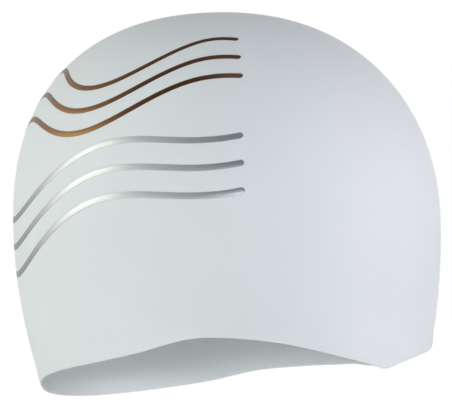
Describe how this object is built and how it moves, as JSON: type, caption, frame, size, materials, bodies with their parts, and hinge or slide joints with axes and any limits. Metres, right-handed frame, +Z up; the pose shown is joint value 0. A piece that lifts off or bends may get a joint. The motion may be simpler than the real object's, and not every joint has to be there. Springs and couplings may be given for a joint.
{
  "type": "swim cap",
  "caption": "Thin moulded silicone swim cap, a hollow dome open below, in its worn form, with a higher rim at the temples and a small front peak.",
  "frame": {"origin": "highest point of the inner face of the crown, where a head carries the cap", "axes": "+Z up out of the crown, front of the cap towards -Y, the wearer's left side towards +X"},
  "size_m": [0.1602, 0.2063, 0.168],
  "materials": {
    "silicone": "smooth matt white silicone",
    "copper_print": "printed metallic ink, dark copper to gold",
    "silver_print": "printed metallic ink, grey to light silver"
  },
  "bodies": {
    "root": {"cap_shell": "silicone"}
  },
  "joints": []
}
